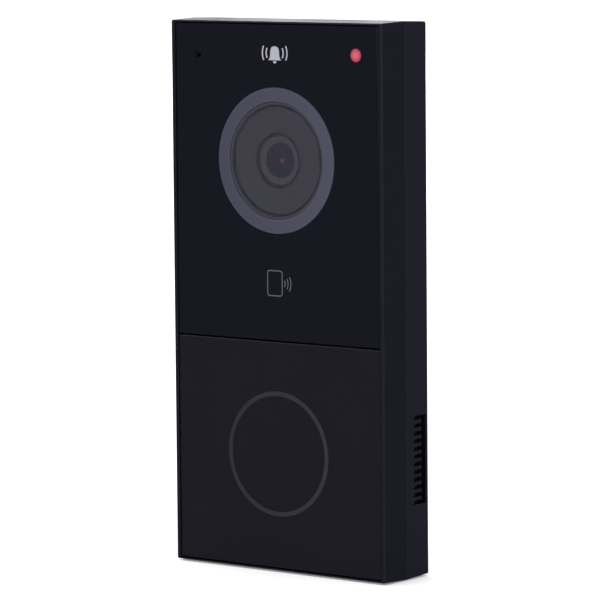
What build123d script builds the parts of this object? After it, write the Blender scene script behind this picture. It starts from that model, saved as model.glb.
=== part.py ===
from build123d import *

import math
import os

# Slim wall-mounted video doorbell: camera above, large push panel below.
#
# Frame: +X to the right as a visitor sees it, +Y into the wall, +Z up. The origin is the centre of
# the wall bracket's back face, so the wall is the plane Y = 0 and the front face is at Y = -DEPTH.
# All sizes are in millimetres.

# ---- Driving dimensions -------------------------------------------------------------------------
HEIGHT = 150.0              # outline at the parting line, the largest section
WIDTH = 72.5
DEPTH = 20.0                # wall to front face
FRONT_DRAFT = 0.3           # each side, parting line to front face
REAR_DRAFT = 0.3            # each side, parting line to wall
CORNER_R = 0.6
PANEL_CORNER_R = 0.3
EDGE_CHAMFER = 0.3          # front edge of the front shell
REAR_CHAMFER = 0.2
PARTING_CHAMFER = 0.18      # on both shells, which leaves a fine V line
WALL = 2.2
RIM = 1.3                   # front shell's rim beside the two panels
RIM_END = 0.45              # the same rim above and below them
PANEL_GAP = 0.35            # rim to panel, all round
DIVIDER_GAP = 0.5           # between the two panels
DIVIDER_Z = -11.8
TAPE_T = 0.2
PUSH = 0.6                  # travel of the call panel

# ---- Levels along Y, front to back --------------------------------------------------------------
FRONT = -DEPTH
FACE = FRONT + 0.12         # both panels lie a little behind the rim's front
PARTING = FRONT + 9.8
PANEL_BACK = FRONT + 1.8
UPPER_DECK = PANEL_BACK + TAPE_T
SKIRT_BACK = FRONT + 2.3    # back of the call panel's skirt
LOWER_DECK = SKIRT_BACK + PUSH + 0.1
DECK_BACK = FRONT + 4.4
BOARD_FRONT = FRONT + 9.0
BOARD_T = 1.6
BOARD_BACK = BOARD_FRONT + BOARD_T
RIM_BACK = -0.1             # rear shell's rim stops just short of the wall
BACK_WALL = -2.2            # inner face of the rear shell's back wall
TRAY_BACK = -2.3            # floor of the bracket's recess, seen from behind
TRAY_FRONT = -4.1           # the same floor, seen from inside
BRACKET_T = 1.5

# ---- Outlines -----------------------------------------------------------------------------------
FRONT_W = WIDTH - 2 * FRONT_DRAFT
FRONT_H = HEIGHT - 2 * FRONT_DRAFT
POCKET_W = FRONT_W - 2 * RIM
POCKET_H = FRONT_H - 2 * RIM_END
PANEL_W = POCKET_W - 2 * PANEL_GAP
PANEL_TOP = POCKET_H / 2 - PANEL_GAP
UPPER_BOTTOM = DIVIDER_Z + DIVIDER_GAP / 2
LOWER_TOP = DIVIDER_Z - DIVIDER_GAP / 2
CAVITY_W = WIDTH - 2 * WALL
CAVITY_H = HEIGHT - 2 * WALL
UPPER_H = PANEL_TOP - UPPER_BOTTOM
UPPER_MID = (PANEL_TOP + UPPER_BOTTOM) / 2
LOWER_H = LOWER_TOP + PANEL_TOP
LOWER_MID = (LOWER_TOP - PANEL_TOP) / 2

# ---- Camera and its light ring ------------------------------------------------------------------
CAMERA_Z = 37.2
RING_OUT_R = 19.8           # visible outside radius of the light diffuser
RING_IN_R = 15.95
FLANGE_R = 21.4
FLANGE_T = 0.8
LIP_OUT_R = 15.85           # thin dark lip between diffuser and window
LIP_IN_R = 15.25
WINDOW_R = 15.15
WINDOW_BACK = FRONT + 1.0
BEZEL_IN_R = 7.6
LENS_R = 6.0
LENS_FLANGE_R = 6.6
LENS_GLASS_R = 4.9
LENS_BORE_R = 4.0
LENS_FRONT = FRONT + 1.7
MOUTH_DEPTH = 0.4           # bevel from the barrel's front down to the lens
CAMERA_BOARD_FRONT = -6.6
CAMERA_BOARD_T = 1.0
CAMERA_BOARD_W = 26.0
CAMERA_BOARD_H = 14.0
CAMERA_POST_X = 10.5
LIGHT_BOARD_R = 23.4
LIGHT_BOARD_IN_R = 14.6
LIGHT_BOARD_T = 1.0
FILL_LEDS = 12
FILL_LED_R = 17.9

FLEX_T = 0.2
SOCKET_T = 1.2

# ---- Small features on the front ----------------------------------------------------------------
STATUS_X = 27.2
STATUS_Z = 66.15
STATUS_R = 1.8
MIC_X = -26.6
MIC_Z = 65.2
MIC_HOLE_R = 0.45
MIC_DISH_R = 1.3            # shallow dish around the microphone's hole
MIC_DISH_DEPTH = 0.4

READER_Z = 2.0              # contactless card reader
READER_W = 50.0
READER_H = 23.0

# ---- Call button --------------------------------------------------------------------------------
CALL_Z = -42.6
HALO_R = 16.5               # centre line of the lit ring in the call panel
HALO_W = 1.2
HALO_DEPTH = 1.0
HALO_LEGS = 6
SWITCH_BODY_T = 2.3
CALL_WINDOW_R = 18.6
MEMBRANE_R = 20.6
MEMBRANE_T = 0.7
RETAINER_R = 24.0
RETAINER_T = 1.0
SKIRT_W = 1.4
PUSHER_R = 3.0
CLIP_X = PANEL_W / 2
CLIP_ZS = (-20.0, -65.0)
CLIP_L = 6.0
CLIP_PROUD = 0.7
BUMPERS = [(x, z) for x in (-27.0, 27.0) for z in (-18.0, -67.0)]

# ---- Speaker, side-firing through the right-hand grille -----------------------------------------
GRILLE_Z = -43.0
SLOTS = 12
SLOT_PITCH = 2.09
SLOT_H = 1.1
SLOT_FRONT = -6.9
SLOT_BACK = -2.3
COMB_FRONT = -3.3           # shallow channel that joins the slots' rear ends
COMB_BACK = -1.35
COMB_DEPTH = 1.3
SPEAKER_L = 30.0
SPEAKER_Y = (-13.4, -2.6)
SPEAKER_X = (28.3, 31.9)
SPEAKER_MID_Y = sum(SPEAKER_Y) / 2

# ---- Fasteners ----------------------------------------------------------------------------------
CASE_X = 31.1
CASE_ZS = (69.8, 4.0, -69.8)
CASE_SCREWS = [(x, z) for x in (-CASE_X, CASE_X) for z in CASE_ZS]
BOARD_SCREWS = [(-21.0, 60.5), (21.0, 60.5), (-24.0, -63.5), (24.0, -63.5)]
BOSS_R = 2.9
LIGHT_SCREW_R = 22.2        # pitch radius of the light board's screws
RETAINER_SCREW_R = 22.4

# ---- Wiring entry and bracket -------------------------------------------------------------------
ENTRY_W = 34.0
ENTRY_H = 17.0
ENTRY_Z = -13.0
COVER_W = 43.0
COVER_H = 21.4
GLAND_Z = -17.0
GLAND_BORE_R = 2.75
COVER_SCREW_X = 19.2
BRACKET_W = 52.0
BRACKET_H = 126.0
BRACKET_WINDOW = (44.6, 23.0)
BOX_SCREW_R = 2.2
BOX_PITCHES = (60.0, 83.5)  # European round box and American single-gang box
HOOK_X = 14.0
HOOK_W = 8.0
HOOK_STEM_Z = 51.75
HOOK_STEM_T = 1.5
TAB_Z = -61.5
LOCK_Y = -4.0
TAMPER_X = -20.0
RESET_X = 20.0
SWITCH_Z = 18.0


# ---- Helpers ------------------------------------------------------------------------------------
def facing(y):
    """Plane at depth y whose local axes are X and Z and whose normal faces the visitor."""
    return Plane(origin=(0, y, 0), x_dir=(1, 0, 0), z_dir=(0, -1, 0))


def slab(outline, front, back):
    """Outline drawn in X and Z, given thickness from front to back along Y."""
    return extrude(facing(back) * outline, amount=back - front)


def disc(x, z, radius, front, back):
    return slab(Pos(x, z) * Circle(radius), front, back)


def tube(x, z, outer, inner, front, back):
    return slab(Pos(x, z) * (Circle(outer) - Circle(inner)), front, back)


def plate(x, z, width, height, front, back, corner=0.0):
    outline = RectangleRounded(width, height, corner) if corner else Rectangle(width, height)
    return slab(Pos(x, z) * outline, front, back)


def brick(xs, ys, zs):
    """Box between the two limits given for each axis."""
    size = [abs(b - a) for a, b in (xs, ys, zs)]
    centre = [(a + b) / 2 for a, b in (xs, ys, zs)]
    return Pos(*centre) * Box(*size)


def around(count, radius, x, z, start=0.0):
    """Evenly spaced points on a circle, as (x, z, angle in degrees)."""
    for k in range(count):
        angle = start + 360.0 * k / count
        turn = math.radians(angle)
        yield x + radius * math.cos(turn), z + radius * math.sin(turn), angle


LIGHT_SCREWS = list(around(3, LIGHT_SCREW_R, 0, CAMERA_Z, 90))
RETAINER_SCREWS = list(around(4, RETAINER_SCREW_R, 0, CALL_Z, 45))


def tapered(levels):
    """Rounded block as wide and high as the housing, inset by the amount given at each depth."""
    ends = []
    for y, inset in levels:
        outline = RectangleRounded(WIDTH - 2 * inset, HEIGHT - 2 * inset, CORNER_R)
        ends.append(facing(y) * outline)
    return loft(ends, ruled=True)


def end_edges(block, front):
    """Edges of the block's front face, or of its back face."""
    faces = block.faces().sort_by(Axis.Y)
    return (faces[0] if front else faces[-1]).edges()


def screw_from_back(x, z, seat, head_r, head_h, shank_r, length):
    """Pan-head screw pointing to the front, its head resting on the seat, with a cross recess."""
    head = disc(x, z, head_r, seat, seat + head_h)
    head = fillet(end_edges(head, front=False), head_h * 0.4)
    shank = disc(x, z, shank_r, seat - length, seat)
    shank = chamfer(end_edges(shank, front=True), shank_r * 0.4)
    recess = Rectangle(head_r * 1.1, head_r * 0.28) + Rectangle(head_r * 0.28, head_r * 1.1)
    return head + shank - slab(Pos(x, z) * recess, seat + head_h * 0.45, seat + head_h)


def group(pieces):
    return Compound(children=list(pieces))


# ---- Housing ------------------------------------------------------------------------------------
def front_housing():
    edge = [(FRONT, FRONT_DRAFT + EDGE_CHAMFER), (FRONT + EDGE_CHAMFER, FRONT_DRAFT)]
    shell = tapered(edge + [(PARTING - PARTING_CHAMFER, 0), (PARTING, PARTING_CHAMFER)])
    shell -= plate(0, 0, POCKET_W, POCKET_H, FRONT, UPPER_DECK, PANEL_CORNER_R)
    low_h = POCKET_H / 2 + UPPER_BOTTOM
    shell -= plate(0, UPPER_BOTTOM - low_h / 2, POCKET_W, low_h, FRONT, LOWER_DECK, PANEL_CORNER_R)
    shell -= plate(0, 0, CAVITY_W, CAVITY_H, DECK_BACK, PARTING, 1.0)
    # Clip pockets in the side walls hold the call panel in and let it travel.
    half = CLIP_L / 2 + 0.3
    for side in (-1, 1):
        for z in CLIP_ZS:
            reach = (side * (CLIP_X - 0.2), side * (POCKET_W / 2 + CLIP_PROUD - 0.1))
            shell -= brick(reach, (PANEL_BACK + 0.02, LOWER_DECK), (z - half, z + half))
    # Openings for the camera, the status light, the microphone and the call switch.
    shell -= disc(0, CAMERA_Z, FLANGE_R - 1.0, UPPER_DECK, DECK_BACK)
    shell -= disc(0, CAMERA_Z, FLANGE_R + 0.15, UPPER_DECK, PANEL_BACK + FLANGE_T)
    shell -= disc(STATUS_X, STATUS_Z, STATUS_R + 0.1, UPPER_DECK, DECK_BACK)
    shell -= disc(MIC_X, MIC_Z, 0.8, UPPER_DECK, DECK_BACK)
    shell -= disc(0, CALL_Z, CALL_WINDOW_R, LOWER_DECK, DECK_BACK)
    for x, z in BUMPERS:
        shell -= disc(x, z, 1.9, LOWER_DECK, LOWER_DECK + 0.5)
    # Bosses for the case screws, the main board, the light board and the membrane retainer.
    for x, z in CASE_SCREWS:
        shell += disc(x, z, BOSS_R, DECK_BACK, PARTING + 1.0)
        shell -= disc(x, z, 1.25, PARTING - 4.4, PARTING + 1.0)
    for x, z in BOARD_SCREWS:
        shell += disc(x, z, 2.6, DECK_BACK, BOARD_FRONT)
        shell -= disc(x, z, 1.0, BOARD_FRONT - 3.6, BOARD_FRONT)
    for x, z, _ in RETAINER_SCREWS:
        shell += disc(x, z, 1.6, DECK_BACK, DECK_BACK + MEMBRANE_T)
        shell -= disc(x, z, 0.75, DECK_BACK - 0.9, DECK_BACK + MEMBRANE_T)
    for x, z, _ in LIGHT_SCREWS:
        shell -= disc(x, z, 0.7, DECK_BACK - 1.5, DECK_BACK)
    # Groove for the seal, in the face that meets the rear shell.
    seat = RectangleRounded(WIDTH - WALL + 0.5, HEIGHT - WALL + 0.5, 1.0)
    seat -= RectangleRounded(WIDTH - WALL - 1.5, HEIGHT - WALL - 1.5, 0.5)
    shell -= slab(seat, PARTING - 1.0, PARTING)
    return shell


def rear_housing():
    edge = [(RIM_BACK - REAR_CHAMFER, REAR_DRAFT), (RIM_BACK, REAR_DRAFT + REAR_CHAMFER)]
    shell = tapered([(PARTING, PARTING_CHAMFER), (PARTING + PARTING_CHAMFER, 0)] + edge)
    shell -= plate(0, 0, CAVITY_W, CAVITY_H, PARTING, BACK_WALL, 1.0)
    # The bracket's recess is a tray sunk into the back wall.
    shell += plate(0, 0, BRACKET_W + 3.6, BRACKET_H + 3.6, TRAY_FRONT, BACK_WALL, 2.0)
    shell -= plate(0, 0, BRACKET_W + 0.6, BRACKET_H + 0.6, TRAY_BACK, 0, 3.2)
    shell -= plate(0, ENTRY_Z, ENTRY_W, ENTRY_H, TRAY_FRONT, TRAY_BACK, 1.5)
    for x in (-COVER_SCREW_X, COVER_SCREW_X):
        shell += disc(x, ENTRY_Z, 1.9, TRAY_FRONT - 2.2, TRAY_FRONT)
        shell -= disc(x, ENTRY_Z, 0.85, TRAY_FRONT - 1.6, TRAY_BACK)
    shell -= disc(TAMPER_X, SWITCH_Z, 2.1, TRAY_FRONT, TRAY_BACK)
    shell -= disc(RESET_X, SWITCH_Z, 1.3, TRAY_FRONT, TRAY_BACK)
    # Closed pockets for the bracket's two hooks.
    for side in (-1, 1):
        x = side * HOOK_X
        shell += plate(x, 51.7, HOOK_W + 3.0, 14.2, TRAY_FRONT - 2.9, TRAY_FRONT)
        shell -= plate(x, 51.7, HOOK_W + 1.0, 12.2, TRAY_FRONT - 1.9, TRAY_FRONT)
        shell -= plate(x, 49.2, HOOK_W + 1.0, 6.9, TRAY_FRONT, TRAY_BACK)
    # Closed pocket for the bracket's lower tab, and the sleeve of its lock screw.
    shell += brick((-7.2, 7.2), (TRAY_FRONT - 3.6, TRAY_FRONT), (-64.8, -56.8))
    shell += brick((-4.0, 4.0), (TRAY_FRONT - 3.6, BACK_WALL), (-HEIGHT / 2 + WALL, -63.0))
    shell -= brick((-6.0, 6.0), (TRAY_FRONT - 2.4, TRAY_BACK), (-63.3, -58.0))
    shell -= Pos(0, LOCK_Y, -69.0) * Cylinder(1.65, 13.0)
    shell -= Pos(0, LOCK_Y, -HEIGHT / 2 + 0.85) * Cylinder(2.6, 2.3)
    # Sleeves for the case screws, countersunk from the back.
    for x, z in CASE_SCREWS:
        shell += disc(x, z, BOSS_R, PARTING + 1.05, BACK_WALL)
        shell -= disc(x, z, 1.4, PARTING + 1.05, RIM_BACK)
        shell -= disc(x, z, 2.5, -3.4, RIM_BACK)
    # Speaker slots, and the shallow channel that joins their rear ends.
    low = GRILLE_Z - (SLOTS - 1) / 2 * SLOT_PITCH - SLOT_H / 2
    wall = (CAVITY_W / 2 - 0.5, WIDTH / 2 + 1)
    for k in range(SLOTS):
        z = low + k * SLOT_PITCH
        shell -= brick(wall, (SLOT_FRONT, SLOT_BACK), (z, z + SLOT_H))
    outside = WIDTH / 2 - REAR_DRAFT * 0.7
    comb = (outside - COMB_DEPTH, WIDTH / 2 + 1)
    return shell - brick(comb, (COMB_FRONT, COMB_BACK), (low, 2 * GRILLE_Z - low))


def housing_seal():
    loop = RectangleRounded(WIDTH - WALL + 0.4, HEIGHT - WALL + 0.4, 0.95)
    loop -= RectangleRounded(WIDTH - WALL - 1.4, HEIGHT - WALL - 1.4, 0.55)
    return slab(loop, PARTING - 0.95, PARTING)


def case_screws():
    return group(screw_from_back(x, z, -3.4, 2.3, 1.4, 1.2, 10.4) for x, z in CASE_SCREWS)


# ---- Upper panel and its lights -----------------------------------------------------------------
def upper_outline(margin):
    return RectangleRounded(PANEL_W - 2 * margin, UPPER_H - 2 * margin, PANEL_CORNER_R)


def upper_panel():
    panel = slab(Pos(0, UPPER_MID) * upper_outline(0), FACE, PANEL_BACK)
    panel = chamfer(end_edges(panel, front=True), 0.15)
    panel -= disc(0, CAMERA_Z, RING_OUT_R + 0.08, FACE, PANEL_BACK)
    panel -= disc(STATUS_X, STATUS_Z, STATUS_R + 0.05, FACE, PANEL_BACK)
    panel -= disc(MIC_X, MIC_Z, MIC_HOLE_R, FACE, PANEL_BACK)
    dish = Cone(MIC_HOLE_R, MIC_DISH_R, MIC_DISH_DEPTH)
    panel -= Pos(MIC_X, FACE + MIC_DISH_DEPTH / 2, MIC_Z) * Rot(90, 0, 0) * dish
    return panel


def panel_tape():
    tape = slab(Pos(0, UPPER_MID) * upper_outline(0.4), PANEL_BACK, UPPER_DECK)
    tape -= disc(0, CAMERA_Z, FLANGE_R + 0.3, PANEL_BACK, UPPER_DECK)
    tape -= disc(STATUS_X, STATUS_Z, STATUS_R + 0.4, PANEL_BACK, UPPER_DECK)
    tape -= disc(MIC_X, MIC_Z, 1.0, PANEL_BACK, UPPER_DECK)
    return tape


def light_diffuser():
    ring = tube(0, CAMERA_Z, RING_OUT_R, RING_IN_R, FACE, PANEL_BACK)
    ring = chamfer(end_edges(ring, front=True), 0.15)
    return ring + tube(0, CAMERA_Z, FLANGE_R, RING_IN_R, PANEL_BACK, PANEL_BACK + FLANGE_T)


def camera_window():
    window = disc(0, CAMERA_Z, WINDOW_R, FACE, WINDOW_BACK)
    return chamfer(end_edges(window, front=True), 0.12)


def camera_bezel():
    """Grey shallow funnel behind the window, with a lip that keeps the light ring's glare out."""
    lip = FACE + 0.3
    outside = [(LIP_OUT_R, lip), (LIP_OUT_R, DECK_BACK), (LIP_IN_R - 0.3, DECK_BACK)]
    behind = [(LIP_IN_R - 0.3, WINDOW_BACK + 0.9), (BEZEL_IN_R, WINDOW_BACK + 1.1)]
    front = [(BEZEL_IN_R, WINDOW_BACK + 0.3), (LIP_IN_R - 0.8, WINDOW_BACK), (LIP_IN_R, WINDOW_BACK)]
    section = make_face(Polyline(outside + behind + front + [(LIP_IN_R, lip)], close=True))
    return Pos(0, 0, CAMERA_Z) * revolve(section, Axis.Y)


def light_board():
    board = tube(0, CAMERA_Z, LIGHT_BOARD_R, LIGHT_BOARD_IN_R, DECK_BACK, DECK_BACK + LIGHT_BOARD_T)
    for x, z, _ in LIGHT_SCREWS:
        board -= disc(x, z, 0.9, DECK_BACK, DECK_BACK + LIGHT_BOARD_T)
    return board


def ring_leds(count, radius, z, start, back):
    """Small light-emitting diodes in a circle, standing on a board whose front is at back."""
    for x, up, angle in around(count, radius, 0, z, start):
        yield slab(Pos(x, up) * Rot(0, 0, angle) * Rectangle(1.6, 2.8), back - 0.7, back)


def fill_leds():
    return group(ring_leds(FILL_LEDS, FILL_LED_R, CAMERA_Z, 15, DECK_BACK))


def small_screws():
    """Identical screws of the light board and of the membrane's retainer."""
    light = [(x, z, DECK_BACK + LIGHT_BOARD_T) for x, z, _ in LIGHT_SCREWS]
    clamp = [(x, z, DECK_BACK + MEMBRANE_T + RETAINER_T) for x, z, _ in RETAINER_SCREWS]
    return group(screw_from_back(x, z, seat, 1.2, 0.75, 0.65, 2.4) for x, z, seat in light + clamp)


# ---- Camera module ------------------------------------------------------------------------------
def lens_barrel():
    barrel = disc(0, CAMERA_Z, LENS_R, LENS_FRONT + 1.5, -8.6)
    barrel += disc(0, CAMERA_Z, LENS_FLANGE_R, LENS_FRONT, LENS_FRONT + 1.5)
    barrel -= disc(0, CAMERA_Z, LENS_GLASS_R, LENS_FRONT, LENS_FRONT + 2.4)
    barrel -= disc(0, CAMERA_Z, LENS_BORE_R, LENS_FRONT + 2.4, -8.6)
    mouth = Cone(LENS_GLASS_R, LENS_FLANGE_R - 0.5, MOUTH_DEPTH)
    barrel -= Pos(0, LENS_FRONT + MOUTH_DEPTH / 2, CAMERA_Z) * Rot(90, 0, 0) * mouth
    return barrel


def lens(radius, back, edge, bulge):
    """Plano-convex lens with its round face to the front."""
    ball = (radius**2 + bulge**2) / (2 * bulge)
    front = back - edge - bulge
    return disc(0, CAMERA_Z, radius, front, back) & Pos(0, front + ball, CAMERA_Z) * Sphere(ball)


def lens_front_element():
    return lens(LENS_GLASS_R - 0.02, LENS_FRONT + 2.4, 1.9, 0.6)


def lens_inner_elements():
    return group(lens(LENS_BORE_R, y, 0.9, 0.5) for y in (-12.5, -9.6))


def lens_holder():
    base = plate(0, CAMERA_Z, CAMERA_BOARD_H, CAMERA_BOARD_H, BOARD_BACK, CAMERA_BOARD_FRONT, 1.0)
    holder = base + disc(0, CAMERA_Z, 7.6, -15.0, BOARD_BACK)
    holder -= disc(0, CAMERA_Z, LENS_R + 0.05, -15.0, -8.5)
    return holder - plate(0, CAMERA_Z, 9.4, 9.4, -8.5, CAMERA_BOARD_FRONT, 0.5)


def infrared_filter():
    return plate(0, CAMERA_Z, 9.2, 9.2, -8.5, -8.2)


def image_sensor():
    sensor = plate(0, CAMERA_Z, 8.4, 7.6, -7.5, CAMERA_BOARD_FRONT)
    return sensor - plate(0, CAMERA_Z, 6.0, 4.0, -7.5, -7.3)


def camera_board():
    back = CAMERA_BOARD_FRONT + CAMERA_BOARD_T
    board = plate(0, CAMERA_Z, CAMERA_BOARD_W, CAMERA_BOARD_H, CAMERA_BOARD_FRONT, back, 1.0)
    for side in (-1, 1):
        board -= disc(side * CAMERA_POST_X, CAMERA_Z, 1.1, CAMERA_BOARD_FRONT, back)
    return board


def camera_standoffs():
    pieces = []
    for side in (-1, 1):
        outline = RegularPolygon(2.0, 6) - Circle(1.05)
        pieces.append(slab(Pos(side * CAMERA_POST_X, CAMERA_Z) * outline, BOARD_BACK, CAMERA_BOARD_FRONT))
    return group(pieces)


def camera_screws():
    seat = CAMERA_BOARD_FRONT + CAMERA_BOARD_T
    return group(screw_from_back(s * CAMERA_POST_X, CAMERA_Z, seat, 1.9, 1.0, 0.98, 3.4) for s in (-1, 1))


def camera_flex():
    """Flat ribbon from the camera board down to its socket on the main board."""
    top = CAMERA_BOARD_FRONT + CAMERA_BOARD_T + FLEX_T / 2
    foot = BOARD_BACK + SOCKET_T + FLEX_T / 2
    course = [(0, top, 31.4), (0, top, 25.0), (0, foot, 22.6), (0, foot, 18.2)]
    start = Plane(origin=course[0], x_dir=(1, 0, 0), z_dir=(0, 0, -1))
    return sweep(start * Rectangle(10.0, FLEX_T), path=FilletPolyline(course, radius=0.9))


# ---- Main board ---------------------------------------------------------------------------------
def main_board():
    board = plate(0, 0, 55.2, 134.4, BOARD_FRONT, BOARD_BACK, 1.0)
    board += brick((-32.8, 32.8), (BOARD_FRONT, BOARD_BACK), (8.0, 67.2))
    board -= brick((23.9, 40), (BOARD_FRONT, BOARD_BACK), (-60.0, -26.0))
    board -= disc(0, CAMERA_Z, 8.0, BOARD_FRONT, BOARD_BACK)
    for x, z in CASE_SCREWS:
        board -= disc(x, z, BOSS_R + 0.4, BOARD_FRONT, BOARD_BACK)
    for x, z in BOARD_SCREWS:
        board -= disc(x, z, 1.4, BOARD_FRONT, BOARD_BACK)
    return board


def main_board_screws():
    return group(screw_from_back(x, z, BOARD_BACK, 2.2, 1.3, 0.95, 4.9) for x, z in BOARD_SCREWS)


def board_chips():
    """Processor, memory, audio, network and power chips, and the camera's ribbon socket."""
    processor = plate(-10, 6, 13, 13, BOARD_BACK, BOARD_BACK + 1.3, 0.3)
    memory = plate(5, 8, 9, 11, BOARD_BACK, BOARD_BACK + 1.1, 0.3)
    audio = plate(8, -33, 10, 8, BOARD_BACK, BOARD_BACK + 1.5, 0.3)
    network = plate(-8, -30, 7, 7, BOARD_BACK, BOARD_BACK + 1.0, 0.3)
    spots = ((-18, -36), (-15, 54), (15, 54), (24, 30))
    power = [plate(x, z, 5, 4, BOARD_BACK, BOARD_BACK + 1.2, 0.3) for x, z in spots]
    socket = plate(0, 19.6, 12, 3.2, BOARD_BACK, BOARD_BACK + SOCKET_T, 0.3)
    return group([processor, memory, audio, network, socket] + power)


def radio_shield():
    """Folded metal can over the wireless module, open towards the board."""
    can = plate(-25, 34, 13.0, 17.0, BOARD_BACK, BOARD_BACK + 2.4, 0.6)
    can = fillet(end_edges(can, front=False), 0.4)
    return can - plate(-25, 34, 12.4, 16.4, BOARD_BACK, BOARD_BACK + 2.1, 0.4)


def board_capacitors():
    """Upright aluminium cans that steady the supply."""
    pieces = []
    for x, z, r in ((-20, -50, 3.1), (-12.5, -50, 3.1), (-4, -52, 2.5), (14, -50, 3.1)):
        can = disc(x, z, r, BOARD_BACK + 0.6, BOARD_BACK + 4.8)
        can = fillet(end_edges(can, front=False), 0.5)
        foot = plate(x, z, 2 * r + 0.4, 2 * r + 0.4, BOARD_BACK, BOARD_BACK + 0.6, 0.6)
        pieces.append(can + foot)
    return group(pieces)


def reader_antenna_board():
    return plate(0, READER_Z, READER_W, READER_H, DECK_BACK, DECK_BACK + 0.6, 1.0)


def reader_antenna_coil():
    """Flat rectangular spiral of the card reader's antenna."""
    pitch = 1.3
    points = [(-23.4, 10.2)]
    for k in range(4):
        half_w = 23.4 - k * pitch
        half_h = 10.2 - k * pitch
        points += [(half_w, half_h), (half_w, -half_h), (-half_w, -half_h), (-half_w, half_h - pitch)]
    track = trace(Polyline(points), line_width=0.6)
    return slab(Pos(0, READER_Z) * track, DECK_BACK + 0.6, DECK_BACK + 0.7)


def ferrite_sheet():
    return plate(0, READER_Z, READER_W, READER_H, DECK_BACK + 0.7, DECK_BACK + 1.0, 1.0)


def wireless_antenna():
    """Thin flexible antenna stuck behind the deck, above the camera."""
    sheet = plate(-3, 67.5, 32.0, 7.0, DECK_BACK, DECK_BACK + 0.2, 0.8)
    return sheet + plate(8.5, 67.5, 3.0, 2.4, DECK_BACK + 0.2, DECK_BACK + 0.9, 0.3)


def microphone():
    capsule = disc(MIC_X, MIC_Z, 1.9, BOARD_FRONT - 1.5, BOARD_FRONT)
    return capsule - disc(MIC_X, MIC_Z, 0.4, BOARD_FRONT - 1.5, BOARD_FRONT - 1.2)


def microphone_boot():
    boot = disc(MIC_X, MIC_Z, 2.8, DECK_BACK, BOARD_FRONT)
    boot -= disc(MIC_X, MIC_Z, 1.9, BOARD_FRONT - 1.5, BOARD_FRONT)
    return boot - disc(MIC_X, MIC_Z, 0.6, DECK_BACK, BOARD_FRONT)


def status_light_pipe():
    pipe = disc(STATUS_X, STATUS_Z, STATUS_R, FACE, BOARD_FRONT - 0.9)
    pipe = fillet(end_edges(pipe, front=True), 0.25)
    return pipe + disc(STATUS_X, STATUS_Z, 2.2, DECK_BACK, DECK_BACK + 0.8)


def board_leds():
    """Identical diodes on the main board: one for the status light, the rest for the call ring."""
    status = plate(STATUS_X, STATUS_Z, 2.8, 1.6, BOARD_FRONT - 0.7, BOARD_FRONT)
    return group([status, *ring_leds(HALO_LEGS, HALO_R, CALL_Z, 30, BOARD_FRONT)])


# ---- Call button --------------------------------------------------------------------------------
def halo_leg(k, half_width, sweep_angle):
    """Outline of one leg of the light ring, an arc of a narrow ring."""
    reach = 40 * math.tan(math.radians(sweep_angle / 2))
    wedge = make_face(Polyline((0, 0), (40, -reach), (40, reach), close=True))
    arc = (Circle(HALO_R + half_width) - Circle(HALO_R - half_width)) & wedge
    return Pos(0, CALL_Z) * Rot(0, 0, 30 + 360 * k / HALO_LEGS) * arc


def call_panel():
    outline = RectangleRounded(PANEL_W, LOWER_H, PANEL_CORNER_R)
    panel = slab(Pos(0, LOWER_MID) * outline, FACE, PANEL_BACK)
    panel = chamfer(end_edges(panel, front=True), 0.15)
    skirt = outline - RectangleRounded(PANEL_W - 2 * SKIRT_W, LOWER_H - 2 * SKIRT_W, 0.5)
    panel += slab(Pos(0, LOWER_MID) * skirt, PANEL_BACK, SKIRT_BACK)
    for side in (-1, 1):
        for z in CLIP_ZS:
            reach = (side * (CLIP_X - 0.5), side * (CLIP_X + CLIP_PROUD))
            panel += brick(reach, (PANEL_BACK + 0.1, SKIRT_BACK), (z - CLIP_L / 2, z + CLIP_L / 2))
    panel += disc(0, CALL_Z, PUSHER_R, PANEL_BACK, DECK_BACK - 0.05)
    # Stiffening spokes behind the push area.
    for _, _, angle in around(6, 1, 0, CALL_Z):
        spoke = Pos(0, CALL_Z) * Rot(0, 0, angle) * Pos(8, 0) * Rectangle(13, 0.8)
        panel += slab(spoke, PANEL_BACK, PANEL_BACK + 0.9)
    outer = HALO_R + HALO_W / 2 + 0.03
    panel -= tube(0, CALL_Z, outer, 2 * HALO_R - outer, FACE, FRONT + HALO_DEPTH)
    for k in range(HALO_LEGS):
        panel -= slab(halo_leg(k, 0.45, 31), FRONT + HALO_DEPTH, PANEL_BACK)
    return panel


def call_light_ring():
    ring = tube(0, CALL_Z, HALO_R + HALO_W / 2, HALO_R - HALO_W / 2, FACE, FRONT + HALO_DEPTH)
    for k in range(HALO_LEGS):
        ring += slab(halo_leg(k, 0.4, 30), FRONT + HALO_DEPTH, PANEL_BACK + 0.5)
    return ring


def call_membrane():
    """Clear silicone sheet that keeps water out and hands the push to the switch."""
    sheet = disc(0, CALL_Z, MEMBRANE_R, DECK_BACK, DECK_BACK + MEMBRANE_T)
    sheet += disc(0, CALL_Z, 2.4, DECK_BACK + MEMBRANE_T, DECK_BACK + MEMBRANE_T + 0.4)
    return sheet - tube(0, CALL_Z, 13.0, 12.0, DECK_BACK, DECK_BACK + 0.3)


def membrane_retainer():
    front = DECK_BACK + MEMBRANE_T
    ring = tube(0, CALL_Z, RETAINER_R, CALL_WINDOW_R + 0.1, front, front + RETAINER_T)
    for x, z, _ in RETAINER_SCREWS:
        ring -= disc(x, z, 0.9, front, front + RETAINER_T)
    return ring


def call_bumpers():
    """Four silicone buttons under the call panel's corners, which push it back out."""
    return group(disc(x, z, 1.8, PANEL_BACK + 0.02, LOWER_DECK + 0.48) for x, z in BUMPERS)


def call_switch():
    body = plate(0, CALL_Z, 6.2, 6.2, BOARD_FRONT - SWITCH_BODY_T, BOARD_FRONT, 0.4)
    return body - disc(0, CALL_Z, 1.8, BOARD_FRONT - SWITCH_BODY_T, BOARD_FRONT - 0.5)


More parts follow.
